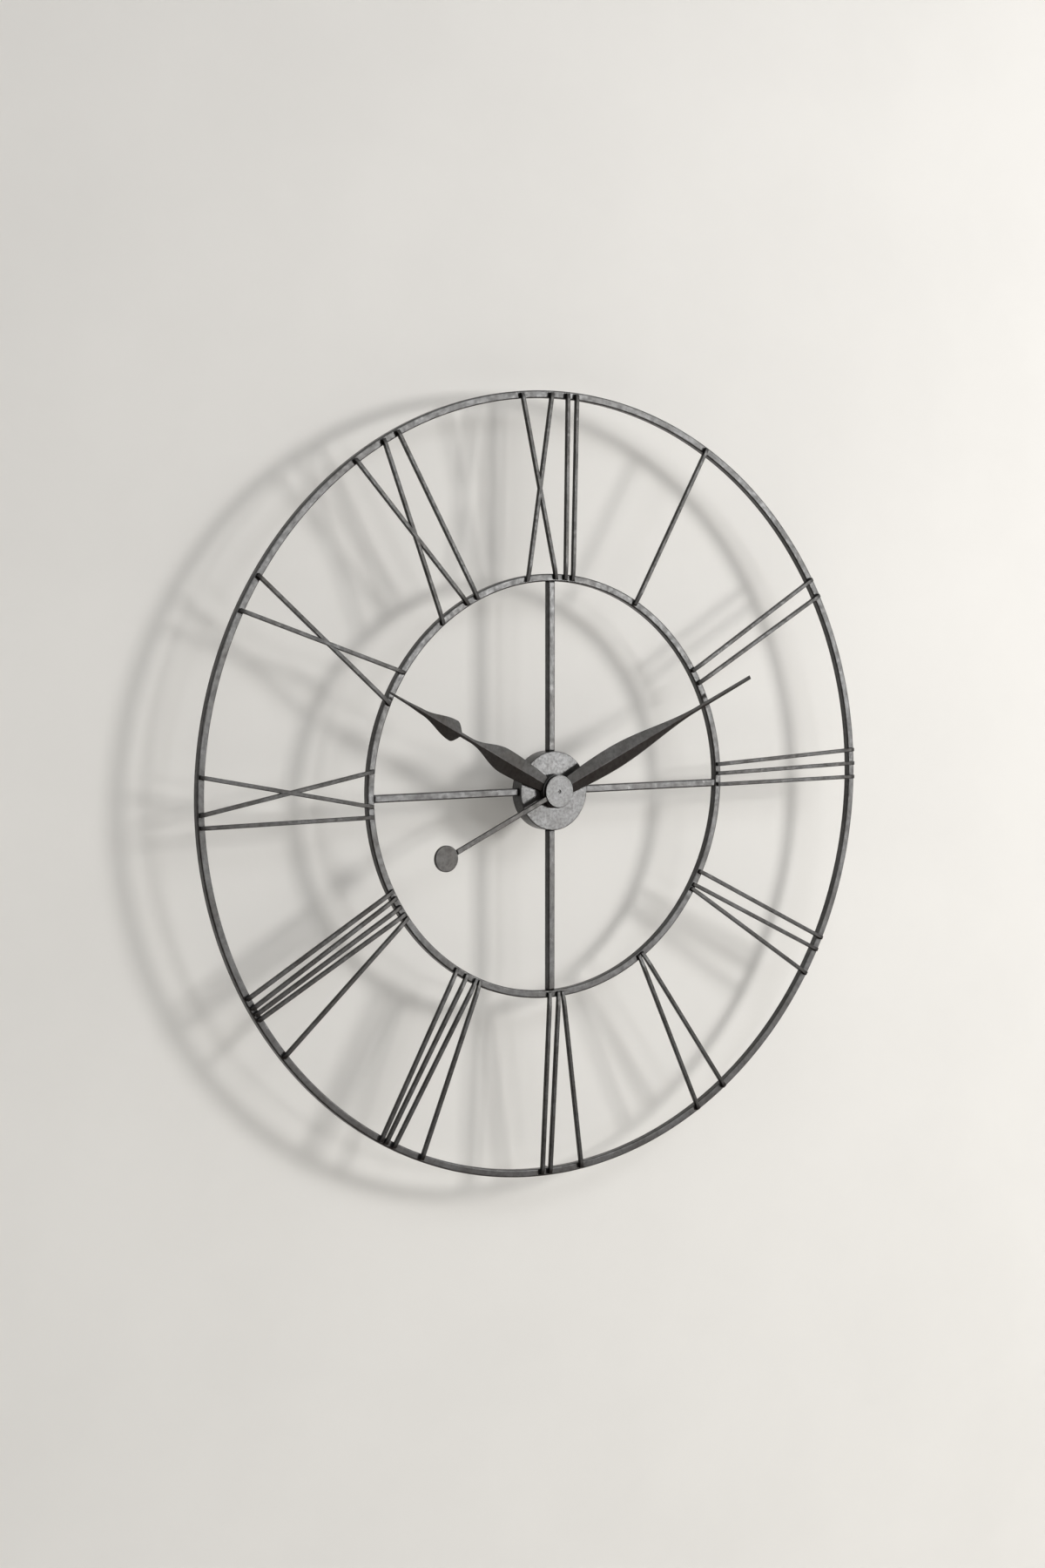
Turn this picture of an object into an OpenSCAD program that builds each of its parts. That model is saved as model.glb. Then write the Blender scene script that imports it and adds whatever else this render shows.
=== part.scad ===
// Large open-frame wall clock: two rings of square bar, Roman numerals of thin rod, a round hub
// that holds a battery movement, and two folded sheet hands.
//
// The wall is the plane y = 0 and the clock faces -Y. Depths are distances from the wall.
// The origin is the round part of the keyhole that the clock hangs from.

/* [Frame] */
// Outside diameter of the outer ring
clock_d = 1240; // [1100:10:1300]
// Outside diameter of the inner ring
inner_ring_d = 670; // [640:10:700]
// Side of the square bar in the rings and crossbars
bar = 12; // [10:0.5:14]
// Chamfer along the edges of that bar
bar_chamfer = 1.5; // [1:0.25:2.5]
// Space between the wall and the back of the rings
wall_gap = 7; // [5:0.5:9]
// How far the hub sits below the centre of the rings
hub_drop = 6; // [0:1:10]

/* [Numerals] */
// Side of the square rod in the numerals
rod = 6.4; // [5:0.1:7]
// How far a rod stops short of the far edge of each ring
rod_short = 3; // [1:0.5:5]
// Distance between the two strokes of a V at the inner ring
v_foot = 8; // [8:0.5:12]
// Distance between the two strokes of an X at the inner ring
x_foot = 53; // [40:1:60]

/* [Hub] */
// Outside diameter of the hub
hub_d = 125; // [120:1:140]
// Depth of the hub
hub_depth = 25; // [25:0.5:26]
// Thickness of the hub's sheet
hub_wall = 2; // [1.5:0.25:2]
// Height of the keyhole above the hands' axis
keyhole_rise = 40; // [39:0.5:42]

/* [Hands] */
// Distance from the axis to the tip of the minute hand
minute_reach = 416; // [380:1:440]
// Distance from the axis to the tip of the hour hand
hour_reach = 345; // [320:1:350]
// Angle of the minute hand, clockwise from twelve
minute_angle = 65.5; // [0:0.5:359.5]
// Angle of the hour hand, clockwise from twelve
hour_angle = 298; // [0:0.5:359.5]
// Slope of each half of a hand, away from its ridge
fold = 12; // [8:0.5:12]
// Thickness of the hands' sheet
sheet = 1.2; // [0.8:0.1:1.2]
// Diameter of the counterweight
counterweight_d = 41; // [36:1:46]

/* [Movement] */
// Width of the movement's case
case_w = 58; // [58:0.5:62]
// Height of the movement's case
case_h = 56; // [56:0.5:58]
// Diameter of the threaded bushing
bushing_d = 8; // [8:0.5:10]

/* [Hidden] */
$fn = 96;
eps = 0.01;

// Frame
clock_r = clock_d / 2;
inner_r = inner_ring_d / 2;
hub_r = hub_d / 2;
hub_z = -keyhole_rise;
ring_z = hub_z + hub_drop;
ring_front = wall_gap + bar;
bar_mid = wall_gap + bar / 2;
cup_inside_r = hub_r - hub_wall;
cup_inside = hub_depth - hub_wall;
hanger_t = 2;
hanger_below = 9;
hanger_above = 13;
keyhole_r = 5;
keyslot_r = 2.5;
keyslot_rise = 7;
bumper_r = 5.5;

// Numerals: the strokes run through points on the middle circles of the two rings
top_r = clock_r - bar / 2;
foot_r = inner_r - bar / 2;
// Letters; width of a V or X at the outer ring; gaps after each letter but the last there and at
// the inner ring; turn off the hour mark there and at the inner ring, in degrees
NUMERALS = [
    ["I", 0, [], [], -0.8, -1.05],
    ["II", 0, [31], [24], -0.65, -0.9],
    ["III", 0, [23, 23], [15, 18], -1.5, -1.35],
    ["IV", 45, [22], [24], 0, 0.1],
    ["V", 62, [], [], -0.95, -1.7],
    ["VI", 60, [15], [17], -1.65, -1.2],
    ["VII", 55, [16, 10], [19, 21], -2.95, -1.4],
    ["VIII", 72, [10, 11, 17], [14, 16, 12], -3.45, -1.2],
    ["IX", 55, [19], [16], 0.1, 0.25],
    ["X", 58, [], [], -0.2, -0.45],
    ["XI", 57, [28], [20], -1.15, -1.5],
    ["XII", 55, [30, 17], [18, 14], -0.6, -0.8],
];

// Movement, from the hub's front sheet back towards the wall
washer_t = 0.8;
case_front = cup_inside - washer_t;
case_wall = 1.2;
case_inside = case_front - case_wall;
cover_t = 1.2;
cover_front = 6.4;
plate_back = 9;
plate_t = 1;
plate_front = plate_back + plate_t;
bushing_r = bushing_d / 2;
bushing_front = hub_depth + 5;
nut_flats = bushing_d + 4;
nut_t = 2.5;
battery_r = 7.25;
battery_len = 49.2;
nub_len = 1.3;
contact_t = 0.4;
battery_z = -18.7;
battery_depth = case_inside - battery_r - 0.05;
partition_z = -11.3;
partition_t = 0.7;
running_gap = 0.05;

// Hands: the stack in front of the hub
minute_arbor_r = 1.55;
hour_pipe_bore_r = minute_arbor_r + running_gap;
hour_pipe_r = 2.55;
hour_hub_r = 27;
hour_hub_back = hub_depth + 1.5;
hour_hub_front = hub_depth + 10.5;
hour_hub_wall = 2;
hour_ridge = hour_hub_front - 1.2;
minute_hub_r = 25.7;
minute_hub_back = hour_hub_front + 1.5;
minute_hub_front = minute_hub_back + 4;
minute_ridge = minute_hub_front - 0.7;
cap_recess_r = 2.5;
cap_recess = 1.5;
tail_w = 8;
tail_t = 4;
tail_back = minute_hub_back - 0.3;
counterweight_s = 229;
counterweight_t = 5;

// Wheels: [module, teeth] pairs that mesh, and where their arbors stand around the hands' axis
motion_module = 0.5;
hour_module = 0.48;
centre_module = 0.42;
third_module = 0.35;
cannon_teeth = 12;
motion_teeth = 36;
motion_pinion_teeth = 10;
hour_teeth = 40;
knob_teeth = 12;
centre_teeth = 45;
third_teeth = 48;
leaf_teeth = 6;
motion_bearing = 0;
knob_bearing = 60;
third_bearing = 135;
rotor_bearing = 180;
motion_at = polar(motion_module * (cannon_teeth + motion_teeth) / 2, motion_bearing);
knob_at = motion_at + polar(motion_module * (motion_teeth + knob_teeth) / 2, knob_bearing);
third_at = polar(centre_module * (centre_teeth + leaf_teeth) / 2, third_bearing);
rotor_at = third_at + polar(third_module * (third_teeth + leaf_teeth) / 2, rotor_bearing);
// Turn of each wheel that puts a gap opposite its partner's tooth
motion_turn = mesh_turn(cannon_teeth, 0, motion_bearing, motion_teeth);
pinion_turn = mesh_turn(hour_teeth, 0, motion_bearing, motion_pinion_teeth);
knob_turn = mesh_turn(motion_teeth, motion_turn, knob_bearing, knob_teeth);
third_turn = mesh_turn(centre_teeth, 0, third_bearing, leaf_teeth);
rotor_turn = mesh_turn(third_teeth, 0, rotor_bearing, leaf_teeth);
arbor_r = 0.5;
motion_arbor_r = 0.7;
knob_shaft_r = 1.5;
arbor_back = plate_back - 0.1;
arbor_front = case_inside + 0.6;
magnet_r = 3;
stator_back = 15.2;
stator_t = 0.8;
stator_left = rotor_at[0] - 7;
stator_right = 12;
arm_w = 3;
arm_from = 13.4;
coil_z = 20.6;
coil_r = 4.4;

// ---- Helpers ----

function polar(r, a) = [r * cos(a), r * sin(a)];

// A point on a circle around the dial, from a radius and an angle clockwise from twelve
function dial_point(r, a) = [r * sin(a), r * cos(a)];

// Turn of the second wheel of a pair, so that it meshes with the first across a bearing
function mesh_turn(teeth_a, turn_a, bearing, teeth_b) =
    bearing + 180 - (0.5 - (bearing - turn_a) * teeth_a / 360) * 360 / teeth_b;

// Flat shape seen from the front, made solid between two depths
module slab(from, to) {
    translate([0, -from, 0]) rotate([90, 0, 0]) linear_extrude(to - from) children();
}

// Profile of [radius, depth] points, turned about the axis that leaves the wall
module turned() {
    rotate([90, 0, 0]) rotate_extrude() children();
}

module at_hub(p = [0, 0]) {
    translate([p[0], 0, hub_z + p[1]]) children();
}

module at_ring() {
    translate([0, 0, ring_z]) children();
}

module tube(r_in, r_out, from, to) {
    slab(from, to) difference() {
        circle(r = r_out);
        circle(r = r_in);
    }
}

module rod_between(r, from, to) {
    slab(from, to) circle(r = r);
}

// Section of the frame's bar: a square with chamfered corners, centred
module bar_section() {
    h = bar / 2;
    c = h - bar_chamfer;
    polygon([[h, c], [c, h], [-c, h], [-h, c], [-h, -c], [-c, -h], [c, -h], [h, -c]]);
}

module rounded_rectangle(w, h, r) {
    square([w, h - 2 * r], center = true);
    square([w - 2 * r, h], center = true);
    for (x = [-1, 1], z = [-1, 1])
        translate([x * (w / 2 - r), z * (h / 2 - r)]) circle(r = r);
}

// Wheel outline with straight-sided teeth; a tooth points along the given turn
module gear(teeth, size, turn) {
    tip = size * (teeth / 2 + 0.7);
    root = size * (teeth / 2 - 1.05);
    pitch = 360 / teeth;
    root_half = 0.22 * pitch;
    tip_half = 0.1 * pitch;
    polygon([for (i = [0 : teeth - 1]) let (a = turn + i * pitch) each [
        polar(root, a - root_half),
        polar(tip, a - tip_half),
        polar(tip, a + tip_half),
        polar(root, a + root_half),
    ]]);
}

// ---- Frame ----

module ring(r) {
    color("dimgray") at_ring() turned() translate([r, bar_mid]) bar_section();
}

// Quarter of the outer ring, which is one piece; four nodes let the collision shapes follow its curve
module outer_arc(angle) {
    intersection() {
        ring(top_r);
        at_ring() rotate([0, angle, 0]) slab(0, ring_front + 1)
            polygon([[0, 0], [-clock_d, clock_d], [clock_d, clock_d]]);
    }
}

module outer_ring_top() {
    outer_arc(0);
}

module outer_ring_right() {
    outer_arc(90);
}

module outer_ring_bottom() {
    outer_arc(180);
}

module outer_ring_left() {
    outer_arc(270);
}

module inner_ring() {
    ring(foot_r);
}

// Crossbar that runs from the hub to the inner ring, both ends cut to fit
module crossbar(angle) {
    color("dimgray") difference() {
        intersection() {
            at_hub() rotate([0, angle, 0])
                translate([0, -bar_mid, 0]) linear_extrude(inner_r) bar_section();
            at_ring() rod_between(inner_r - bar, wall_gap - 1, ring_front + 1);
        }
        at_hub() rod_between(hub_r, 0, hub_depth);
    }
}

// Pressed hub: a round front sheet and a deep rim, open at the back
module hub_cup() {
    edge = 1;
    color("gray") at_hub() turned() polygon([
        [bushing_r + 0.2, hub_depth],
        [hub_r - edge, hub_depth],
        [hub_r, hub_depth - edge],
        [hub_r, 0],
        [cup_inside_r, 0],
        [cup_inside_r, cup_inside],
        [bushing_r + 0.2, cup_inside],
    ]);
}

// Flat bar across the open back of the hub, with the keyhole that takes the wall screw
module hanger_bar() {
    color("gray") slab(0, hanger_t) difference() {
        intersection() {
            translate([-hub_r, -hanger_below]) square([hub_d, hanger_below + hanger_above]);
            translate([0, hub_z]) circle(r = cup_inside_r);
        }
        circle(r = keyhole_r);
        translate([-keyslot_r, 0]) square([2 * keyslot_r, keyslot_rise]);
        translate([0, keyslot_rise]) circle(r = keyslot_r);
    }
}

// Rubber bumpers behind the outer ring, at twelve and at six
module wall_bumpers() {
    color("black") at_ring() for (side = [-1, 1])
        translate([0, 0, side * top_r]) turned() polygon([
            [0, 0],
            [bumper_r - 1, 0],
            [bumper_r, 1],
            [bumper_r, wall_gap],
            [0, wall_gap],
        ]);
}

// ---- Numerals ----

function letter_top(letter, spread) = letter == "I" ? 0 : spread;
function letter_foot(letter) = letter == "V" ? v_foot : letter == "X" ? x_foot : 0;

// Distance from the first letter's start to the start of letter i
function start_of(widths, gaps, i) =
    i == 0 ? 0 : start_of(widths, gaps, i - 1) + widths[i - 1] + gaps[i - 1];
function span(widths, gaps) = start_of(widths, gaps, len(widths) - 1) + widths[len(widths) - 1];

// Strokes of one letter as [top, foot] arc positions
function letter_strokes(letter, top, foot, top_w, foot_w) =
    letter == "I" ? [[top, foot]] :
    letter == "V" ? [[top, foot], [top + top_w, foot + foot_w]] :
    [[top, foot + foot_w], [top + top_w, foot]];

// Strokes of the numeral of an hour as [top point, foot point] on the rings' middle circles
function strokes(hour) = let (
    row = NUMERALS[hour - 1],
    letters = row[0],
    tops = [for (letter = letters) letter_top(letter, row[1])],
    feet = [for (letter = letters) letter_foot(letter)],
    top_0 = -span(tops, row[2]) / 2,
    foot_0 = -span(feet, row[3]) / 2
) [
    for (i = [0 : len(letters) - 1])
        for (s = letter_strokes(letters[i], top_0 + start_of(tops, row[2], i),
                foot_0 + start_of(feet, row[3], i), tops[i], feet[i])) [
            dial_point(top_r, 30 * hour + row[4] + s[0] / top_r * 180 / PI),
            dial_point(foot_r, 30 * hour + row[5] + s[1] / foot_r * 180 / PI),
        ]
];

// Straight rod that lies on the faces of both rings, longer than it ends up
module stroke(ends) {
    run = ends[0] - ends[1];
    translate([ends[1][0], -ring_front - rod, ends[1][1]]) rotate([0, atan2(run[0], run[1]), 0])
        translate([-rod / 2, 0, -bar]) cube([rod, rod, norm(run) + 2 * bar]);
}

// Strokes cut parallel to the rings' edges; the two of an X are welded where they cross
module numeral(hour) {
    color("dimgray") at_ring() intersection() {
        for (ends = strokes(hour)) stroke(ends);
        tube(inner_r - bar + rod_short, clock_r - rod_short, ring_front - 1, ring_front + rod + 1);
    }
}

// ---- Movement, fixed pieces ----

module rubber_washer() {
    color("black") at_hub() tube(bushing_r, 10, case_front, cup_inside);
}

module steel_washer() {
    color("silver") at_hub() tube(bushing_r, 9, hub_depth, hub_depth + washer_t);
}

module bushing_nut() {
    nut_back = hub_depth + washer_t;
    color("goldenrod") at_hub() slab(nut_back, nut_back + nut_t) difference() {
        circle(d = nut_flats / cos(30), $fn = 6);
        circle(r = bushing_r);
    }
}

// Blind bearings in the case's front wall, one for each arbor that stands beside the axis
module front_bearings() {
    for (b = [[motion_at, motion_arbor_r], [third_at, arbor_r], [rotor_at, arbor_r], [knob_at, arbor_r]])
        translate([b[0][0], 0, b[0][1]])
            rod_between(b[1] + running_gap, case_inside - 1, case_inside + 0.7);
}

module movement_case() {
    inside = [case_w - 2 * case_wall, case_h - 2 * case_wall];
    color("darkslategray") at_hub() difference() {
        union() {
            difference() {
                slab(cover_front, case_front) rounded_rectangle(case_w, case_h, 4);
                slab(cover_front - 1, case_inside) square(inside, center = true);
            }
            slab(cover_front, case_inside)
                translate([-inside[0] / 2, partition_z]) square([inside[0], partition_t]);
            rod_between(bushing_r, case_inside, bushing_front);
            for (x = [stator_left + arm_w / 2, stator_right - arm_w / 2])
                translate([x, 0, coil_z - 4]) rod_between(1.2, stator_back + stator_t, case_inside);
        }
        rod_between(hour_pipe_r + running_gap, case_inside - 1, bushing_front + 1);
        front_bearings();
    }
}

// Back cover, with a window over the battery and a hole for the setting knob's shaft
module movement_cover() {
    color("darkslategray") at_hub() slab(cover_front - cover_t, cover_front) difference() {
        rounded_rectangle(case_w, case_h, 4);
        translate([0, battery_z]) square([51.6, 2 * battery_r + 0.4], center = true);
        translate(knob_at) circle(r = knob_shaft_r + running_gap);
    }
}

// Plate behind the wheels, with a bearing hole for each arbor
module train_plate() {
    half = case_w / 2 - case_wall;
    bottom = partition_z + partition_t;
    top = case_h / 2 - case_wall;
    holes = [
        [[0, 0], motion_arbor_r],
        [motion_at, motion_arbor_r],
        [third_at, arbor_r],
        [rotor_at, arbor_r],
        [knob_at, knob_shaft_r],
    ];
    color("white") at_hub() slab(plate_back, plate_front) difference() {
        translate([-half, bottom]) square([2 * half, top - bottom]);
        for (hole = holes) translate(hole[0]) circle(r = hole[1] + running_gap);
    }
}

module along_x(x) {
    translate([x, -battery_depth, battery_z]) rotate([0, 90, 0]) children();
}

module battery() {
    color("orange") at_hub() along_x(-battery_len / 2) {
        cylinder(r = battery_r, h = battery_len);
        cylinder(r = 2.75, h = battery_len + nub_len);
    }
}

module contact_plate() {
    linear_extrude(contact_t) square([2 * battery_r - 4, 10], center = true);
}

module contact_positive() {
    x = battery_len / 2 + nub_len;
    color("silver") at_hub() {
        along_x(x) cylinder(r = 2.5, h = case_w / 2 - case_wall - x - contact_t);
        along_x(case_w / 2 - case_wall - contact_t) contact_plate();
    }
}

// Plate with a stack of spring turns that narrows towards the battery
module contact_negative() {
    wire_r = 0.4;
    turns = 5;
    narrowing = 0.5;
    gap = case_w / 2 - case_wall - battery_len / 2;
    first = contact_t + 0.8 * wire_r;
    lead = (gap - wire_r - first) / (turns - 1);
    color("silver") at_hub() along_x(-battery_len / 2 - gap) {
        contact_plate();
        for (i = [0 : turns - 1])
            translate([0, 0, first + i * lead]) rotate_extrude()
                translate([4.2 - i * narrowing, 0]) circle(r = wire_r, $fn = 24);
    }
}

module circuit_board() {
    color("darkgreen") at_hub() {
        slab(plate_front, plate_front + 1) translate([14, 14.5]) square([12.5, 11]);
        slab(plate_front + 1, plate_front + 2) translate([17, 16]) square([5, 5]);
    }
}

module quartz_crystal() {
    r = 1;
    color("silver") at_hub() translate([16, -plate_front - 1 - r, 23.8])
        rotate([0, 90, 0]) cylinder(r = r, h = 6);
}

// Soft-iron plate: a C that joins the coil's core to the hole around the rotor's magnet
module stator() {
    top = coil_z + 1;
    near = rotor_at[0] + 4;
    color("silver") at_hub() slab(stator_back, stator_back + stator_t) {
        difference() {
            translate([stator_left, rotor_at[1] - 5.5]) square([14, 11]);
            translate(rotor_at) circle(r = magnet_r + 0.6);
        }
        translate([stator_left, rotor_at[1]]) square([arm_w, top - rotor_at[1]]);
        translate([near, rotor_at[1] + 5]) square([arm_w, arm_from + 2 - rotor_at[1] - 5]);
        translate([near, arm_from]) square([stator_right - near, 2]);
        translate([stator_right - arm_w, arm_from]) square([arm_w, top - arm_from]);
        translate([stator_left, coil_z - 1]) square([stator_right - stator_left, 2]);
    }
}

module coil() {
    bobbin_r = 1.3;
    color("chocolate") at_hub() translate([-19, -stator_back - stator_t / 2, coil_z])
        rotate([0, 90, 0]) difference() {
            cylinder(r = coil_r, h = 25);
            translate([0, 0, -1]) cylinder(r = bobbin_r, h = 27);
        }
}

// ---- Wheels ----

// Wheel on the hands' axis: 12-leaf pinion for the motion work, with the arbor of the minute hand
module minute_arbor() {
    color("silver") at_hub() {
        rod_between(minute_arbor_r, 13, minute_hub_front - 0.8);
        rod_between(motion_arbor_r, arbor_back, 13 + eps);
        slab(15.5, 17.2) gear(cannon_teeth, motion_module, 0);
    }
}

module centre_wheel() {
    color("goldenrod") at_hub() slab(13.3, 14.5) difference() {
        gear(centre_teeth, centre_module, 0);
        circle(r = minute_arbor_r);
    }
}

// Hour wheel with its long pipe, which turns in the bushing and carries the hour hand
module hour_wheel() {
    color("white") at_hub() difference() {
        union() {
            slab(18, 19.5) gear(hour_teeth, hour_module, 0);
            rod_between(hour_pipe_r, 18, hour_hub_front);
        }
        rod_between(hour_pipe_bore_r, 17, hour_hub_front + 1);
    }
}

module motion_wheel() {
    color("white") at_hub(motion_at) {
        rod_between(motion_arbor_r, arbor_back, arbor_front);
        slab(15.8, 17) gear(motion_teeth, motion_module, motion_turn);
        slab(17 - eps, 19.7) gear(motion_pinion_teeth, hour_module, pinion_turn);
    }
}

module third_wheel() {
    color("white") at_hub(third_at) {
        rod_between(arbor_r, arbor_back, arbor_front);
        slab(10.8, 12) gear(third_teeth, third_module, 0);
        slab(12 - eps, 14.9) gear(leaf_teeth, centre_module, third_turn);
    }
}

module rotor() {
    color("white") at_hub(rotor_at) {
        rod_between(arbor_r, arbor_back, arbor_front);
        slab(10.6, 12.3) gear(leaf_teeth, third_module, rotor_turn);
    }
}

module rotor_magnet() {
    color("black") at_hub(rotor_at) tube(arbor_r, magnet_r, 14, 17);
}

// Knob behind the cover that turns both hands through the motion wheel
module setting_knob() {
    knob_r = 7;
    flutes = 18;
    color("dimgray") at_hub(knob_at) {
        slab(1.2, 4.6) difference() {
            circle(r = knob_r);
            for (i = [0 : flutes - 1]) rotate(i * 360 / flutes) translate([knob_r + 0.4, 0]) circle(r = 0.8);
        }
        rod_between(knob_shaft_r, 4.6 - eps, 15.6);
        rod_between(arbor_r, 15.6 - eps, arbor_front);
        slab(15.6 - eps, 17.2) gear(knob_teeth, motion_module, knob_turn);
    }
}

// ---- Hands ----

// Part of an outline: half widths that swell quickly, then level off
function swell(from, to, steps = 10) = [for (i = [0 : steps]) let (t = i / steps) [
    from[0] + (to[0] - from[0]) * t,
    from[1] + (to[1] - from[1]) * sin(90 * t),
]];

// Part of an outline: half widths that leave one width and reach another smoothly
function settle(from, to, steps = 12) = [for (i = [1 : steps]) let (t = i / steps) [
    from[0] + (to[0] - from[0]) * t,
    from[1] + (to[1] - from[1]) * (1 - cos(180 * t)) / 2,
]];

// Hand made of sheet folded along its middle; the line lists [distance along, half width]
module folded_hand(line, ridge, angle) {
    half = 30;
    drop = half * tan(fold);
    back = ridge - sheet / cos(fold);
    reach = line[len(line) - 1][0];
    outline = concat(
        [for (p = line) [p[1], p[0]]],
        [for (i = [len(line) - 1 : -1 : 0]) [-line[i][1], line[i][0]]]
    );
    at_hub() rotate([0, angle, 0]) intersection() {
        slab(back - drop - 1, ridge + 1) polygon(outline);
        linear_extrude(reach + 1) polygon([
            [0, -ridge], [half, drop - ridge], [half, drop - back],
            [0, -back], [-half, drop - back], [-half, drop - ridge],
        ]);
    }
}

// Leaf, narrow neck, then a spade head with a long point
module hour_hand() {
    line = concat(
        swell([hour_hub_r - 6, 11.5], [108, 19.8]),
        settle([108, 19.8], [181, 3.8]),
        swell([201, 3.8], [214, 17.1], 8),
        settle([214, 17.1], [280, 4.6]),
        [[305, 2.8], [hour_reach, 1.5]]
    );
    color("dimgray") difference() {
        folded_hand(line, hour_ridge, hour_angle);
        at_hub() rod_between(hour_hub_r, hour_hub_back - 1, hour_hub_front + 1);
    }
}

// Collar of the hour hand: a shallow cup that hides the nut, pressed on the hour pipe
module hour_hub() {
    edge = 0.6;
    boss_r = 5;
    inside = hour_hub_front - hour_hub_wall;
    color("gray") at_hub() turned() polygon([
        [hour_pipe_r, hour_hub_front],
        [hour_hub_r - edge, hour_hub_front],
        [hour_hub_r, hour_hub_front - edge],
        [hour_hub_r, hour_hub_back],
        [hour_hub_r - hour_hub_wall, hour_hub_back],
        [hour_hub_r - hour_hub_wall, inside],
        [boss_r, inside],
        [boss_r, inside - 3],
        [hour_pipe_r, inside - 3],
    ]);
}

// Long leaf that narrows to a thin bar with a square end
module minute_hand() {
    line = concat(
        swell([minute_hub_r - 6, 13.8], [115, 19.3]),
        settle([115, 19.3], [300, 3.8]),
        [[minute_reach, 3.4]]
    );
    color("dimgray") difference() {
        folded_hand(line, minute_ridge, minute_angle);
        at_hub() rod_between(minute_hub_r, minute_ridge - 10, minute_hub_front + 1);
    }
}

// Thick disc in front of the stack, with a recess around the end of the arbor
module minute_hub() {
    edge = 0.6;
    color("gray") at_hub() turned() polygon([
        [cap_recess_r, minute_hub_front],
        [minute_hub_r - edge, minute_hub_front],
        [minute_hub_r, minute_hub_front - edge],
        [minute_hub_r, minute_hub_back],
        [minute_arbor_r, minute_hub_back],
        [minute_arbor_r, minute_hub_front - cap_recess],
        [cap_recess_r, minute_hub_front - cap_recess],
    ]);
}

// Plain bar that carries the counterweight, opposite the minute hand
module minute_tail() {
    color("dimgray") at_hub() rotate([0, minute_angle + 180, 0]) difference() {
        slab(tail_back, tail_back + tail_t)
            translate([-tail_w / 2, 0]) square([tail_w, counterweight_s]);
        rod_between(minute_hub_r, tail_back - 1, tail_back + tail_t + 1);
        translate([0, 0, counterweight_s])
            rod_between(counterweight_d / 2, tail_back - 1, tail_back + tail_t + 1);
    }
}

module counterweight() {
    edge = 0.6;
    r = counterweight_d / 2;
    from = tail_back - 0.5;
    color("dimgray") at_hub() rotate([0, minute_angle + 180, 0]) translate([0, 0, counterweight_s])
        turned() polygon([
            [0, from],
            [r - edge, from],
            [r, from + edge],
            [r, from + counterweight_t - edge],
            [r - edge, from + counterweight_t],
            [0, from + counterweight_t],
        ]);
}

outer_ring_top();
outer_ring_right();
outer_ring_bottom();
outer_ring_left();
inner_ring();
crossbar(0);  // crossbar_top
crossbar(90);  // crossbar_right
crossbar(180);  // crossbar_bottom
crossbar(270);  // crossbar_left
numeral(1);  // numeral_1
numeral(2);  // numeral_2
numeral(3);  // numeral_3
numeral(4);  // numeral_4
numeral(5);  // numeral_5
numeral(6);  // numeral_6
numeral(7);  // numeral_7
numeral(8);  // numeral_8
numeral(9);  // numeral_9
numeral(10);  // numeral_10
numeral(11);  // numeral_11
numeral(12);  // numeral_12
hub_cup();
hanger_bar();
wall_bumpers();
movement_case();
movement_cover();
rubber_washer();
steel_washer();
bushing_nut();
battery();
contact_positive();
contact_negative();
circuit_board();
quartz_crystal();
coil();
stator();
train_plate();
hour_hand();
hour_hub();
hour_wheel();
minute_hand();
minute_hub();
minute_tail();
counterweight();
minute_arbor();
centre_wheel();
motion_wheel();
third_wheel();
rotor();
rotor_magnet();
setting_knob();
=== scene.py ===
"""Looks of the open-frame wall clock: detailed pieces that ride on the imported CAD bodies.

The frame is the CAD's: metres, the wall at y = 0, the dial facing -Y, +Z up.
"""
import math

import bpy
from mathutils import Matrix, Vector, noise


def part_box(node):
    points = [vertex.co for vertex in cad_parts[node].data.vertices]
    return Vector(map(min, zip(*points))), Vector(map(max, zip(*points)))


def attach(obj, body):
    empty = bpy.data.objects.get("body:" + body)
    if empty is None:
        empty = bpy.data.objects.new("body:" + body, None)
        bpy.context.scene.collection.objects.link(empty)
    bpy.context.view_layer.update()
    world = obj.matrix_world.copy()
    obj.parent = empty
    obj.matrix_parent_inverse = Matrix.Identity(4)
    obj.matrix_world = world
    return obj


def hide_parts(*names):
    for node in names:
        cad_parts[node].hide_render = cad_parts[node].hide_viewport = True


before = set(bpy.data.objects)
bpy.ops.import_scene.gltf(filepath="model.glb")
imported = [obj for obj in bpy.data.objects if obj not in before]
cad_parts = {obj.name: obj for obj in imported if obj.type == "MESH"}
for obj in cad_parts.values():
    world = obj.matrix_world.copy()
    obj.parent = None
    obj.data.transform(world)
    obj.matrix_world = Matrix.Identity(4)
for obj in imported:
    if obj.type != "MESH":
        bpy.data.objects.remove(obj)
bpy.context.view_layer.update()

MM = 0.001
TAU = 2 * math.pi


# ---------------------------------------------------------------- places, from the CAD

def centre_of(node):
    """Middle of a node's box."""
    lo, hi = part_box(node)
    return (Vector(lo) + Vector(hi)) / 2


def box_of(*nodes):
    """Lowest and highest corner of some nodes together."""
    boxes = [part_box(node) for node in nodes]
    lo = Vector(min(box[0][k] for box in boxes) for k in range(3))
    hi = Vector(max(box[1][k] for box in boxes) for k in range(3))
    return lo, hi


ARCS = [f"outer_ring_{side}" for side in ("top", "right", "bottom", "left")]
ring_lo, ring_hi = box_of(*ARCS)
inner_lo, inner_hi = map(Vector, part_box("inner_ring"))
cup_lo, cup_hi = map(Vector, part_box("hub_cup"))
rod_lo = Vector(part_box("numeral_3")[0])

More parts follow.
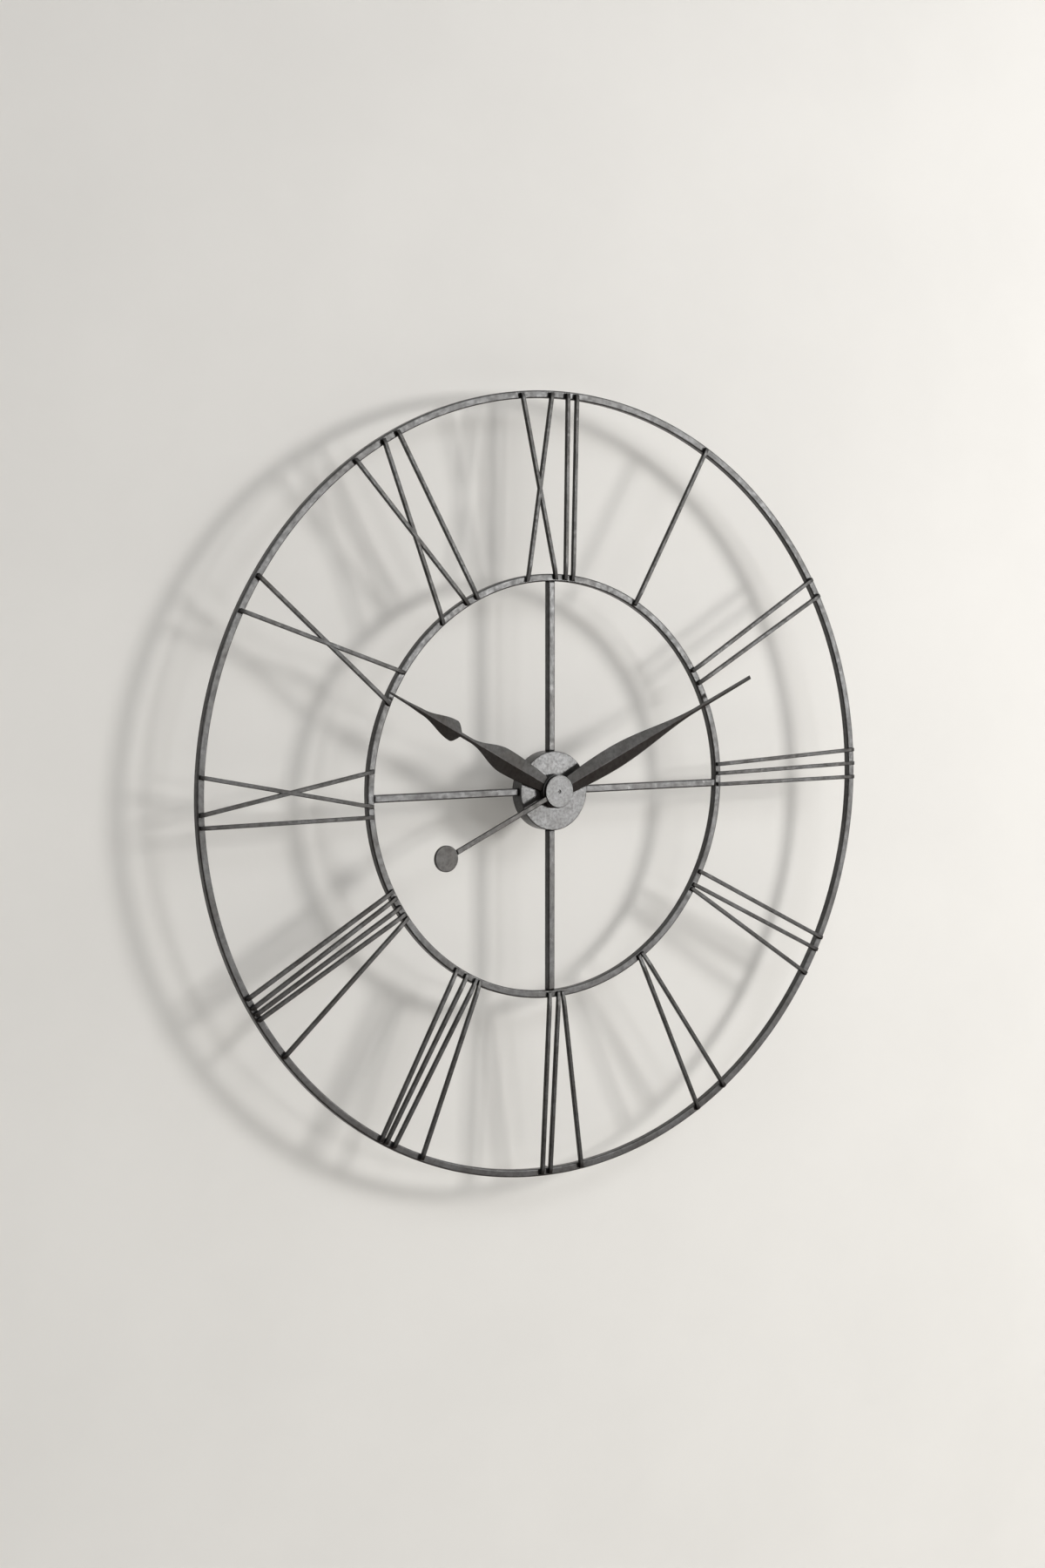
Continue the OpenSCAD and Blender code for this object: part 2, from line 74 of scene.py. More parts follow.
BAR = ring_hi.y - ring_lo.y
RING_FRONT = -ring_lo.y
RING_Z = (ring_lo.z + ring_hi.z) / 2
OUTER_R = (ring_hi.x - ring_lo.x) / 2
INNER_R = (ring_hi.z - ring_lo.z) / 2 - OUTER_R + (inner_hi.z - inner_lo.z) / 2
HUB = Vector((0, 0, (cup_lo.z + cup_hi.z) / 2))
HUB_R = (cup_hi.x - cup_lo.x) / 2
ROD = -rod_lo.y - RING_FRONT
ROD_SHORT = 3 * MM
MINUTE_ANGLE = 65.5
HOUR_ANGLE = 298
FORWARD = Vector((0, -1, 0))

BAR_CORNER = 1.9 * MM
# Largest unevenness of the bar, as a share of its thickness
BAR_WEAR = 0.012
# How far a crossbar's end reaches into the hub or the inner ring
SUNK_END = 0.4 * MM


# ---------------------------------------------------------------- mesh helpers

def new_object(name, verts, faces, flat_faces=()):
    """Mesh object with smooth faces, apart from the listed ones."""
    mesh = bpy.data.meshes.new(name)
    mesh.from_pydata([tuple(v) for v in verts], [], faces)
    mesh.polygons.foreach_set("use_smooth", [True] * len(mesh.polygons))
    for i in flat_faces:
        mesh.polygons[i].use_smooth = False
    mesh.validate()
    mesh.update()
    obj = bpy.data.objects.new(name, mesh)
    bpy.context.scene.collection.objects.link(obj)
    return obj


def skin(name, loops, closed=False):
    """Joins loops of equal length with quads; caps the two ends, or closes the row into a ring."""
    count = len(loops[0])
    verts = [p for loop in loops for p in loop]
    faces = []
    rows = len(loops) if closed else len(loops) - 1
    for i in range(rows):
        a = i * count
        b = (i + 1) % len(loops) * count
        for k in range(count):
            n = (k + 1) % count
            faces.append((a + k, b + k, b + n, a + n))
    flat = []
    if not closed:
        flat = [len(faces), len(faces) + 1]
        faces.append(tuple(range(count)))
        faces.append(tuple(reversed(range(len(verts) - count, len(verts)))))
    return new_object(name, verts, faces, flat)


def uneven(point, size, seed):
    """Smooth noise from 0 to 1 at a point, with bumps of the given size."""
    return min(1.0, max(0.0, 0.5 + 0.5 * noise.noise(point / size + Vector((seed, 0, 0)))))


def rounded_square(half, radius, steps=4, support=0.5 * MM):
    """Section of a square bar: round corners, with a support point beside each of them."""
    points = []
    for corner in range(4):
        turn = corner * math.pi / 2
        c, s = math.cos(turn), math.sin(turn)
        local = [(half, half - radius - support)]
        for i in range(steps + 1):
            a = i / steps * math.pi / 2
            local.append((half - radius + radius * math.cos(a), half - radius + radius * math.sin(a)))
        local.append((half - radius - support, half))
        points += [(x * c - y * s, x * s + y * c) for x, y in local]
    return points


def rounded_profile(points, radius, steps=4):
    """Rounds the inner corners of an open line of (r, y) points; each corner may set its own radius."""
    out = [points[0][:2]]
    for i in range(1, len(points) - 1):
        p = Vector(points[i][:2])
        before = Vector(points[i - 1][:2]) - p
        after = Vector(points[i + 1][:2]) - p
        r = points[i][2] if len(points[i]) > 2 else radius
        r = min(r, 0.45 * before.length, 0.45 * after.length)
        if r <= 0:
            out.append(tuple(p))
            continue
        start = p + before.normalized() * r
        end = p + after.normalized() * r
        out.append(tuple(start + before.normalized() * min(0.3 * r, 0.2 * MM)))
        for k in range(steps + 1):
            t = k / steps
            q = start * (1 - t) ** 2 + p * 2 * t * (1 - t) + end * t ** 2
            out.append(tuple(q))
        out.append(tuple(end + after.normalized() * min(0.3 * r, 0.2 * MM)))
    out.append(points[-1][:2])
    return out


def lathe(name, profile, at, segments=192):
    """Turns a line of (radius, depth) about an axis that leaves the wall.

    A line that starts and ends on the axis closes there; any other one is closed into a loop.
    """
    on_axis = profile[0][0] == 0
    line = profile[1:-1] if on_axis else profile
    count = len(line)
    verts = []
    for i in range(segments):
        a = i / segments * TAU
        verts += [at + Vector((r * math.cos(a), -y, r * math.sin(a))) for r, y in line]
    faces = []
    for i in range(segments):
        a = i * count
        b = (i + 1) % segments * count
        steps = range(count - 1) if on_axis else range(count)
        faces += [(a + k, b + k, b + (k + 1) % count, a + (k + 1) % count) for k in steps]
    if on_axis:
        first = len(verts)
        verts += [at + Vector((0, -profile[0][1], 0)), at + Vector((0, -profile[-1][1], 0))]
        for i in range(segments):
            a = i * count
            b = (i + 1) % segments * count
            faces.append((first, b, a))
            faces.append((first + 1, a + count - 1, b + count - 1))
    return new_object(name, verts, faces)


def bar_loops(stations, seed):
    """Loops of the frame's square bar, slightly uneven, and never thicker than the bar.

    A station is (centre, u, v), where u and v are the directions of the section's two axes.
    """
    section = rounded_square(BAR / 2, BAR_CORNER)
    loops = []
    for centre, u, v in stations:
        loop = []
        for a, b in section:
            p = centre + u * a + v * b
            shrink = 1 - BAR_WEAR * uneven(p, 11 * MM, seed)
            loop.append(centre + (u * a + v * b) * shrink)
        loops.append(loop)
    return loops


# ---------------------------------------------------------------- frame

def make_ring(name, radius, seed, segments=720):
    """Ring of square bar about the dial's centre."""
    centre = Vector((0, -(RING_FRONT - BAR / 2), RING_Z))
    stations = []
    for i in range(segments):
        a = i / segments * TAU
        out = Vector((math.cos(a), 0, math.sin(a)))
        stations.append((centre + out * radius, out, FORWARD))
    return skin(name, bar_loops(stations, seed), closed=True)


def make_crossbar(name, angle, seed):
    """Bar from the hub's side to the inner ring, run slightly into both of them."""
    turn = math.radians(angle)
    along = Vector((math.sin(turn), 0, math.cos(turn)))
    side = Vector((math.cos(turn), 0, -math.sin(turn)))
    depth = Vector((0, -(RING_FRONT - BAR / 2), 0))
    drop = HUB.z - RING_Z
    reach = -drop * along.z + math.sqrt((INNER_R - BAR) ** 2 - (drop * along.x) ** 2)
    start = HUB_R - SUNK_END
    count = 90
    stations = []
    for i in range(count + 1):
        s = start + (reach + SUNK_END - start) * i / count
        stations.append((HUB + depth + along * s, side, FORWARD))
    return skin(name, bar_loops(stations, seed))


# ---------------------------------------------------------------- numerals

# Letters; width of a V or X at the outer ring; gaps after each letter but the last there and at
# the inner ring, in mm; turn off the hour mark there and at the inner ring, in degrees
NUMERALS = [
    ("I", 0, [], [], -0.8, -1.05),
    ("II", 0, [31], [24], -0.65, -0.9),
    ("III", 0, [23, 23], [15, 18], -1.5, -1.35),
    ("IV", 45, [22], [24], 0, 0.1),
    ("V", 62, [], [], -0.95, -1.7),
    ("VI", 60, [15], [17], -1.65, -1.2),
    ("VII", 55, [16, 10], [19, 21], -2.95, -1.4),
    ("VIII", 72, [10, 11, 17], [14, 16, 12], -3.45, -1.2),
    ("IX", 55, [19], [16], 0.1, 0.25),
    ("X", 58, [], [], -0.2, -0.45),
    ("XI", 57, [28], [20], -1.15, -1.5),
    ("XII", 55, [30, 17], [18, 14], -0.6, -0.8),
]
V_FOOT = 8
X_FOOT = 53
TOP_R = OUTER_R - BAR / 2
FOOT_R = INNER_R - BAR / 2

ROD_CORNER = 0.9 * MM
# Slope of a rod's ends: over which length, by how much, and how sharply. It is a guess that stands
# for the dark ends in the photo; the CAD's rods have none
FOOT_LENGTH = 26 * MM
FOOT_DROP = 2.6 * MM
FOOT_CURVE = 1.3
TOP_LENGTH = 7 * MM
TOP_DROP = 1.0 * MM
TOP_CURVE = 1.6
# Soft edge at the very ends of a rod: its length, and what it takes off the height and the width
END_EDGE = 0.6 * MM
EDGE_DROP = 0.5 * MM
EDGE_NARROWING = 0.12
# Unevenness of a rod's front and of its width, and the size of the bumps
ROD_ROUGH = 0.25 * MM
ROD_ROUGH_SIZE = 12 * MM
ROD_NARROWING = 0.03
ROD_NARROWING_SIZE = 9 * MM
# How much deeper every second rod of a numeral lies
ROD_STEP = 0.12 * MM
# Distances from each end of a rod, in mm, dense where it slopes
NEAR_END = [0, 0.4, 1, 2, 4, 6, 9, 12, 15, 18, 22, 26, 30]


def dial_point(radius, angle):
    """Point on a circle around the dial; the angle is in degrees, clockwise from twelve."""
    a = math.radians(angle)
    return Vector((radius * math.sin(a), 0, radius * math.cos(a)))


def strokes(hour):
    """The numeral's strokes as pairs of (top point, foot point) around the dial's centre."""
    letters, spread, top_gaps, foot_gaps, top_turn, foot_turn = NUMERALS[hour - 1]
    top = foot = 0.0
    marks = []
    for i, letter in enumerate(letters):
        if i:
            top += top_gaps[i - 1]
            foot += foot_gaps[i - 1]
        if letter == "I":
            marks.append((top, foot))
        elif letter == "V":
            marks += [(top, foot), (top + spread, foot + V_FOOT)]
            top += spread
            foot += V_FOOT
        else:
            marks += [(top, foot + X_FOOT), (top + spread, foot)]
            top += spread
            foot += X_FOOT
    pairs = []
    for t, f in marks:
        t_angle = 30 * hour + top_turn + math.degrees((t - top / 2) * MM / TOP_R)
        f_angle = 30 * hour + foot_turn + math.degrees((f - foot / 2) * MM / FOOT_R)
        pairs.append((dial_point(TOP_R, t_angle), dial_point(FOOT_R, f_angle)))
    return pairs


def circle_cut(point, along, radius):
    """Distance along a line, outwards, at which it crosses a circle about the dial's centre."""
    b = point.dot(along)
    return -b + math.sqrt(b * b - point.length_squared + radius * radius)


def make_stroke(name, top, foot, seed, sunk):
    """Square rod that lies on both rings, its ends sloped and cut along the rings' edges."""
    along = (top - foot).normalized()
    side = Vector((along.z, 0, -along.x))
    section = rounded_square(ROD / 2, ROD_CORNER, support=0.3 * MM)
    middle = 40
    rows = [(d * MM, "foot") for d in NEAR_END]
    rows += [(k / middle, "span") for k in range(1, middle)]
    rows += [(d * MM, "top") for d in reversed(NEAR_END)]
    loops = []
    for value, kind in rows:
        loop = []
        for a, b in section:
            base = foot + side * a
            start = circle_cut(base, along, INNER_R - BAR + ROD_SHORT)
            end = circle_cut(base, along, OUTER_R - ROD_SHORT)
            if kind == "foot":
                s = start + value
            elif kind == "top":
                s = end - value
            else:
                lo = start + NEAR_END[-1] * MM
                s = lo + (end - NEAR_END[-1] * MM - lo) * value
            # The foot slopes over a long stretch, the outer end over a short one
            foot_slope = max(0.0, 1 - (s - start) / FOOT_LENGTH) ** FOOT_CURVE
            top_slope = max(0.0, 1 - (end - s) / TOP_LENGTH) ** TOP_CURVE
            edge = max(0.0, 1 - min(s - start, end - s) / END_EDGE)
            spot = base + along * s + Vector((0, -(RING_FRONT + ROD / 2), 0))
            rough = ROD_ROUGH * uneven(spot, ROD_ROUGH_SIZE, seed)
            front = ROD - sunk - rough - FOOT_DROP * foot_slope - TOP_DROP * top_slope - EDGE_DROP * edge
            depth = RING_FRONT + (b / ROD + 0.5) * front
            narrowing = ROD_NARROWING * uneven(spot, ROD_NARROWING_SIZE, seed + 40)
            width = 1 - narrowing - EDGE_NARROWING * edge
            loop.append(foot + along * s + side * (a * width) + Vector((0, -depth, RING_Z)))
        loops.append(loop)
    return skin(name, loops)


def join(name, objects):
    """Joins objects into one mesh."""
    verts, faces, flat = [], [], []
    for obj in objects:
        start = len(verts)
        verts += [v.co.copy() for v in obj.data.vertices]
        for poly in obj.data.polygons:
            if not poly.use_smooth:
                flat.append(len(faces))
            faces.append(tuple(start + v for v in poly.vertices))
        mesh = obj.data
        bpy.data.objects.remove(obj)
        bpy.data.meshes.remove(mesh)
    return new_object(name, verts, faces, flat)


def make_numeral(hour):
    """All rods of a numeral; every second one lies a little deeper, so that crossing faces don't meet."""
    rods = []
    for i, (top, foot) in enumerate(strokes(hour)):
        sunk = ROD_STEP if i % 2 else 0.0
        rods.append(make_stroke(f"stroke_{i}", top, foot, hour * 7.3 + i, sunk))
    return join(f"numeral_{hour}_rods", rods)


# ---------------------------------------------------------------- hands

def swell(start, end, steps=16):
    """Half widths that swell quickly, then level off."""
    return [(start[0] + (end[0] - start[0]) * i / steps,
             start[1] + (end[1] - start[1]) * math.sin(math.pi / 2 * i / steps)) for i in range(steps + 1)]


def settle(start, end, steps=24):
    """Half widths that leave one width and reach another smoothly."""
    return [(start[0] + (end[0] - start[0]) * i / steps,
             start[1] + (end[1] - start[1]) * (1 - math.cos(math.pi * i / steps)) / 2)
            for i in range(1, steps + 1)]


# Outlines of the hands, from the hub outwards, as (distance along, half width) in mm
HOUR_LINE = (swell((21, 11.5), (108, 19.8)) + settle((108, 19.8), (181, 3.8))
             + swell((201, 3.8), (214, 17.1)) + settle((214, 17.1), (280, 4.6))
             + [(305, 2.8), (330, 2.0), (345, 1.5)])
MINUTE_LINE = (swell((19.7, 13.8), (115, 19.3)) + settle((115, 19.3), (300, 3.8), 36)
               + [(330, 3.7), (360, 3.6), (390, 3.5), (416, 3.4)])
FOLD = math.radians(12)
SHEET = 1.2 * MM


def make_hand(name, line, ridge, angle, root_r, seed):
    """Sheet folded along its middle, with a soft edge and a crisp ridge, that starts at a round hub."""
    turn = math.radians(angle)
    along = Vector((math.sin(turn), 0, math.cos(turn)))
    side = Vector((math.cos(turn), 0, -math.sin(turn)))
    across = [-1, -0.97, -0.9, -0.7, -0.45, -0.2, -0.06, -0.02, 0, 0.02, 0.06, 0.2, 0.45, 0.7, 0.9, 0.97, 1]
    edge = 0.35 * MM
    loops = []
    for s_mm, w_mm in line:
        s, w = s_mm * MM, w_mm * MM
        front, back = [], []
        for t in across:
            x = (w - edge) * t
            drop = abs(x) * math.tan(FOLD)
            dent = 0.12 * MM * (uneven(Vector((x, s, 0)), 16 * MM, seed) - 0.5)
            root = max(s, math.sqrt(max(root_r ** 2 - x * x, 0.0)))
            spot = HUB + along * root + side * x
            front.append(spot + Vector((0, -(ridge - drop) + abs(dent), 0)))
            back.append(spot + Vector((0, -(ridge - drop - SHEET / math.cos(FOLD)) + abs(dent), 0)))
        # Rounded rim: one point out at each side, half way through the sheet
        rims = []
        for sign in (1, -1):
            x = w * sign
            root = max(s, math.sqrt(max(root_r ** 2 - x * x, 0.0)))
            y = -(ridge - w * math.tan(FOLD) - SHEET / 2)
            rims.append(HUB + along * root + side * x + Vector((0, y, 0)))
        loops.append(front + [rims[0]] + list(reversed(back)) + [rims[1]])
    return skin(name, loops)


# ---------------------------------------------------------------- materials

class Nodes:
    """Small helper for writing a node tree line by line."""

    def __init__(self, name):
        self.material = bpy.data.materials.new(name)
        self.material.use_nodes = True
        self.tree = self.material.node_tree
        self.tree.nodes.clear()
        self.out = self.add("ShaderNodeOutputMaterial")
        self.shader = self.add("ShaderNodeBsdfPrincipled")
        self.link(self.shader, "BSDF", self.out, "Surface")
        self.coords = self.add("ShaderNodeTexCoord")

    def add(self, kind, **values):
        node = self.tree.nodes.new(kind)
        for key, value in values.items():
            if key in node.inputs:
                node.inputs[key].default_value = value
            else:
                setattr(node, key, value)
        return node

    def link(self, a, a_out, b, b_in):
        self.tree.links.new(a.outputs[a_out], b.inputs[b_in])

    def noise(self, scale, detail=6.0, rough=0.6, stretch=None, distortion=0.0):
        node = self.add("ShaderNodeTexNoise", Scale=scale, Detail=detail, Roughness=rough,
                        Distortion=distortion)
        if stretch:
            mapping = self.add("ShaderNodeMapping")
            mapping.inputs["Scale"].default_value = stretch
            self.link(self.coords, "Object", mapping, "Vector")
            self.link(mapping, "Vector", node, "Vector")
        else:
            self.link(self.coords, "Object", node, "Vector")
        return node

    def ramp(self, source, output, stops):
        """Colour ramp; a stop is (place, tone), and the tone a number for grey or three for a colour."""
        node = self.add("ShaderNodeValToRGB")
        elements = node.color_ramp.elements
        while len(elements) < len(stops):
            elements.new(0.5)
        for element, (place, colour) in zip(elements, stops):
            element.position = place
            value = colour if hasattr(colour, "__len__") else (colour,) * 3
            element.color = (*value, 1)
        self.link(source, output, node, "Fac")
        return node

    def multiply(self, factor, a, b):
        """Multiplies two colours, each given as a (node, output)."""
        node = self.add("ShaderNodeMix", data_type="RGBA", blend_type="MULTIPLY")
        node.inputs[0].default_value = factor
        self.link(*a, node, 6)
        self.link(*b, node, 7)
        return node

    def sides(self):
        """Painted shade: a darker base colour on the faces that turn away from the front and the back, to
        match the photo.
        """
        split = self.add("ShaderNodeSeparateXYZ")
        self.link(self.coords, "Normal", split, 0)
        painted_shade_mask = self.add("ShaderNodeMath", operation="ABSOLUTE")
        self.link(split, "Y", painted_shade_mask, 0)
        return self.ramp(painted_shade_mask, 0, [(0.45, PAINTED_SIDE_SHADE), (0.8, 1.0)])

    def bump(self, layers):
        """Stacks bump nodes: each layer is (node, output, strength, distance)."""
        last = None
        for node, output, strength, distance in layers:
            bump = self.add("ShaderNodeBump", Strength=strength, Distance=distance)
            self.link(node, output, bump, "Height")
            if last:
                self.link(last, "Normal", bump, "Normal")
            last = bump
        self.link(last, "Normal", self.shader, "Normal")


# Painted shade on an iron piece's sides: their tone as a share of its front's; chosen to match the photo's
# tones
PAINTED_SIDE_SHADE = 0.4


def iron(name, tones, rough=(0.27, 0.38), blotch=14.0, bump=1.0):
    """Dark metal: mottled in three tones, with painted shade on its sides, and a faintly uneven surface."""
    n = Nodes(name)
    large = n.noise(blotch, 7, 0.62, distortion=0.4)
    fine = n.noise(blotch * 9, 5, 0.6)
    dark, mid, light = tones
    base = n.ramp(large, "Fac", [(0.32, dark), (0.5, mid), (0.68, light)])
    specks = n.ramp(fine, "Fac", [(0.36, 0.7), (0.55, 1.0), (0.75, 1.2)])
    mottled = n.multiply(0.7, (base, "Color"), (specks, "Color"))
    # Painted shade: the mottled colour is darkened on the faces that turn sideways
    colour = n.multiply(1.0, (mottled, 2), (n.sides(), "Color"))
    n.link(colour, 2, n.shader, "Base Color")
    roughness = n.ramp(fine, "Fac", [(0.3, rough[1]), (0.7, rough[0])])
    n.link(roughness, "Color", n.shader, "Roughness")
    n.shader.inputs["Metallic"].default_value = 0.95
    hammer = n.noise(70, 2, 0.5)
    grain = n.noise(700, 4, 0.65)
    n.bump([(hammer, "Fac", 0.015 * bump, 0.001), (grain, "Fac", 0.10 * bump, 0.0002)])
    return n.material


def moulded(name, colour, rough, grain=1400.0):
    """Moulded plastic: even colour with a faint cloud, and a fine spark-eroded texture."""
    n = Nodes(name)
    cloud = n.noise(40, 3, 0.5)
    lighter = tuple(min(1.0, c * 1.25 + 0.004) for c in colour)
    tone = n.ramp(cloud, "Fac", [(0.35, colour), (0.7, lighter)])
    n.link(tone, "Color", n.shader, "Base Color")
    shine = n.ramp(cloud, "Fac", [(0.3, rough), (0.7, rough + 0.08)])
    n.link(shine, "Color", n.shader, "Roughness")
    texture = n.noise(grain, 2, 0.5)
    n.bump([(texture, "Fac", 0.2, 0.0002)])
    return n.material


def plated(name, colour, rough, stretch=(1.0, 60.0, 1.0)):
    """Rolled or turned metal with fine lines and a slight change of tone."""
    n = Nodes(name)
    lines = n.noise(30, 4, 0.6, stretch=stretch)
    cloud = n.noise(60, 4, 0.6)
    darker = tuple(c * 0.72 for c in colour)
    tone = n.ramp(cloud, "Fac", [(0.35, darker), (0.65, colour)])
    n.link(tone, "Color", n.shader, "Base Color")
    shine = n.ramp(lines, "Fac", [(0.3, rough - 0.08), (0.7, rough + 0.12)])
    n.link(shine, "Color", n.shader, "Roughness")
    n.shader.inputs["Metallic"].default_value = 1.0
    n.bump([(lines, "Fac", 0.15, 0.0002)])
    return n.material


FRAME_IRON = iron("frame_iron", ((0.15, 0.146, 0.142), (0.18, 0.179, 0.178), (0.21, 0.21, 0.211)),
                  bump=0.5)
NUMERAL_IRON = iron("numeral_iron", ((0.08, 0.076, 0.072), (0.11, 0.108, 0.106), (0.14, 0.14, 0.14)),
                    blotch=20, bump=0.5)
HUB_IRON = iron("hub_iron", ((0.20, 0.198, 0.195), (0.24, 0.24, 0.24), (0.28, 0.282, 0.284)),
                (0.28, 0.38), blotch=30, bump=0.4)
HAND_IRON = iron("hand_iron", ((0.12, 0.112, 0.105), (0.14, 0.136, 0.132), (0.16, 0.157, 0.155)),
                 (0.30, 0.40), blotch=16, bump=0.3)
ZINC = plated("zinc_steel", (0.62, 0.63, 0.64), 0.34, (60.0, 1.0, 1.0))
RUBBER = moulded("black_rubber", (0.018, 0.018, 0.018), 0.75, 900)
CASE = moulded("case_plastic", (0.022, 0.022, 0.025), 0.45)
WHEEL_PLASTIC = moulded("wheel_plastic", (0.72, 0.71, 0.66), 0.4)
BRASS = plated("wheel_brass", (0.78, 0.57, 0.24), 0.28)
STEEL = plated("arbor_steel", (0.58, 0.58, 0.58), 0.25)
COPPER = plated("coil_copper", (0.72, 0.30, 0.13), 0.3, (220.0, 1.0, 1.0))
GREEN = moulded("circuit_green", (0.02, 0.16, 0.06), 0.3)
MAGNET = plated("magnet_black", (0.12, 0.12, 0.125), 0.4)
SLEEVE = moulded("battery_wrap", (0.03, 0.032, 0.036), 0.22)


def dress(obj, material):
    """Gives an object one material."""
    obj.data.materials.clear()
    obj.data.materials.append(material)


def dress_node(node, material):
    """Gives a carried-over CAD node a better material."""
    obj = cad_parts[node]
    for i in range(len(obj.material_slots)):
        obj.material_slots[i].material = material
    if not obj.material_slots:
        raise SystemExit(f"{node} has no material slot")


def finish_piece(obj, body, slot, material, *nodes):
    """Dresses a piece, ties it to its body and hides the CAD nodes that it stands for; the slot is not
    used.
    """
    dress(obj, material)
    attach(obj, body)
    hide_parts(*nodes)


# ---------------------------------------------------------------- build: frame

ROOT = "clock_frame"
finish_piece(make_ring("outer_ring_bar", TOP_R, 1.0), ROOT, "frame_iron", FRAME_IRON, *ARCS)
finish_piece(make_ring("inner_ring_bar", FOOT_R, 2.0), ROOT, "frame_iron", FRAME_IRON, "inner_ring")
for seed, (side_name, side_angle) in enumerate(
        (("top", 0), ("right", 90), ("bottom", 180), ("left", 270))):
    piece = make_crossbar(f"crossbar_{side_name}_bar", side_angle, 3.0 + seed)
    finish_piece(piece, ROOT, "frame_iron", FRAME_IRON, f"crossbar_{side_name}")
for hour in range(1, 13):
    finish_piece(make_numeral(hour), ROOT, "numeral_iron", NUMERAL_IRON, f"numeral_{hour}")

# ---------------------------------------------------------------- build: hub and hands

cup_depth = -cup_lo.y
cup_wall = 2 * MM
bush_r = 4.2 * MM
cup_profile = rounded_profile([
    (bush_r, cup_depth - cup_wall),
    (bush_r, cup_depth, 0.3 * MM),
    (HUB_R, cup_depth, 1.4 * MM),
    (HUB_R, 0, 0.6 * MM),
    (HUB_R - cup_wall, 0, 0.6 * MM),
    (HUB_R - cup_wall, cup_depth - cup_wall, 1.2 * MM),
    (bush_r, cup_depth - cup_wall),
], 0.5 * MM)[:-1]
hub_cup = lathe("hub_cup_pressing", cup_profile, HUB, 256)
finish_piece(hub_cup, ROOT, "hub_iron", HUB_IRON, "hub_cup")

hour_hub_lo, hour_hub_hi = map(Vector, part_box("hour_hub"))
hour_hub_r = (hour_hub_hi.x - hour_hub_lo.x) / 2
hour_front, hour_back = -hour_hub_lo.y, -hour_hub_hi.y
pipe_r = 2.55 * MM
hour_profile = rounded_profile([
    (pipe_r, hour_front - 5 * MM),
    (pipe_r, hour_front, 0.2 * MM),
    (hour_hub_r, hour_front, 0.9 * MM),
    (hour_hub_r, hour_back, 0.4 * MM),
    (hour_hub_r - 2 * MM, hour_back, 0.4 * MM),
    (hour_hub_r - 2 * MM, hour_front - 2 * MM, 0.8 * MM),
    (5 * MM, hour_front - 2 * MM, 0.4 * MM),
    (5 * MM, hour_front - 5 * MM, 0.3 * MM),
    (pipe_r, hour_front - 5 * MM),
], 0.5 * MM)[:-1]
finish_piece(lathe("hour_collar", hour_profile, HUB, 192), "hour", "hub_iron", HUB_IRON, "hour_hub")

minute_hub_lo, minute_hub_hi = map(Vector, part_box("minute_hub"))
minute_hub_r = (minute_hub_hi.x - minute_hub_lo.x) / 2
minute_front, minute_back = -minute_hub_lo.y, -minute_hub_hi.y
arbor_r = 1.55 * MM
minute_profile = rounded_profile([
    (arbor_r, minute_back),
    (arbor_r, minute_front - 1.5 * MM, 0.1 * MM),
    (2.5 * MM, minute_front - 1.5 * MM, 0.1 * MM),
    (2.5 * MM, minute_front, 0.3 * MM),
    (minute_hub_r, minute_front, 0.7 * MM),
    (minute_hub_r, minute_back, 0.4 * MM),
    (arbor_r, minute_back),
], 0.5 * MM)[:-1]
finish_piece(lathe("minute_disc", minute_profile, HUB, 192), "minute", "hub_iron", HUB_IRON, "minute_hub")

hour_ridge = -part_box("hour_hand")[0][1]
minute_ridge = -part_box("minute_hand")[0][1]
hour_blade = make_hand("hour_blade", HOUR_LINE, hour_ridge, HOUR_ANGLE, hour_hub_r - 0.6 * MM, 5.0)
finish_piece(hour_blade, "hour", "hand_iron", HAND_IRON, "hour_hand")
minute_blade = make_hand("minute_blade", MINUTE_LINE, minute_ridge, MINUTE_ANGLE,
                         minute_hub_r - 0.3 * MM, 6.0)
finish_piece(minute_blade, "minute", "hand_iron", HAND_IRON, "minute_hand")

tail_turn = math.radians(MINUTE_ANGLE + 180)
tail_along = Vector((math.sin(tail_turn), 0, math.cos(tail_turn)))
tail_side = Vector((math.cos(tail_turn), 0, -math.sin(tail_turn)))
weight_lo, weight_hi = map(Vector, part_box("counterweight"))
weight_at = centre_of("counterweight")
weight_r = (weight_hi.x - weight_lo.x) / 2
weight_front, weight_back = -weight_lo.y, -weight_hi.y
tail_lo, tail_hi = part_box("minute_tail")
tail_mid = (tail_lo[1] + tail_hi[1]) / 2
tail_half = (tail_hi[1] - tail_lo[1]) / 2
TAIL_HALF_WIDTH = 4 * MM


def make_tail(name):
    """Flat bar with soft corners from the minute disc to the counterweight."""
    start = minute_hub_r - 0.5 * MM
    end = (weight_at - HUB).xz.length - weight_r + 0.5 * MM
    section = rounded_square(1.0, 0.28, support=0.06)
    loops = []
    count = 60
    for i in range(count + 1):
        s = start + (end - start) * i / count
        spot = HUB + tail_along * s + Vector((0, tail_mid, 0))
        shrink = 1 - 0.03 * uneven(spot, 9 * MM, 8.0)
        loops.append([spot + tail_side * (a * TAIL_HALF_WIDTH * shrink)
                      + Vector((0, -b * tail_half * shrink, 0)) for a, b in section])
    return skin(name, loops)


finish_piece(make_tail("minute_tail_bar"), "minute", "hand_iron", HAND_IRON, "minute_tail")
weight_profile = rounded_profile([
    (0, weight_back),
    (weight_r, weight_back, 0.7 * MM),
    (weight_r, weight_front, 0.9 * MM),
    (0, weight_front),
], 0.5 * MM)
finish_piece(lathe("counterweight_disc", weight_profile, Vector((weight_at.x, 0, weight_at.z)), 128),
             "minute", "hand_iron", HAND_IRON, "counterweight")

# ---------------------------------------------------------------- carried-over CAD nodes

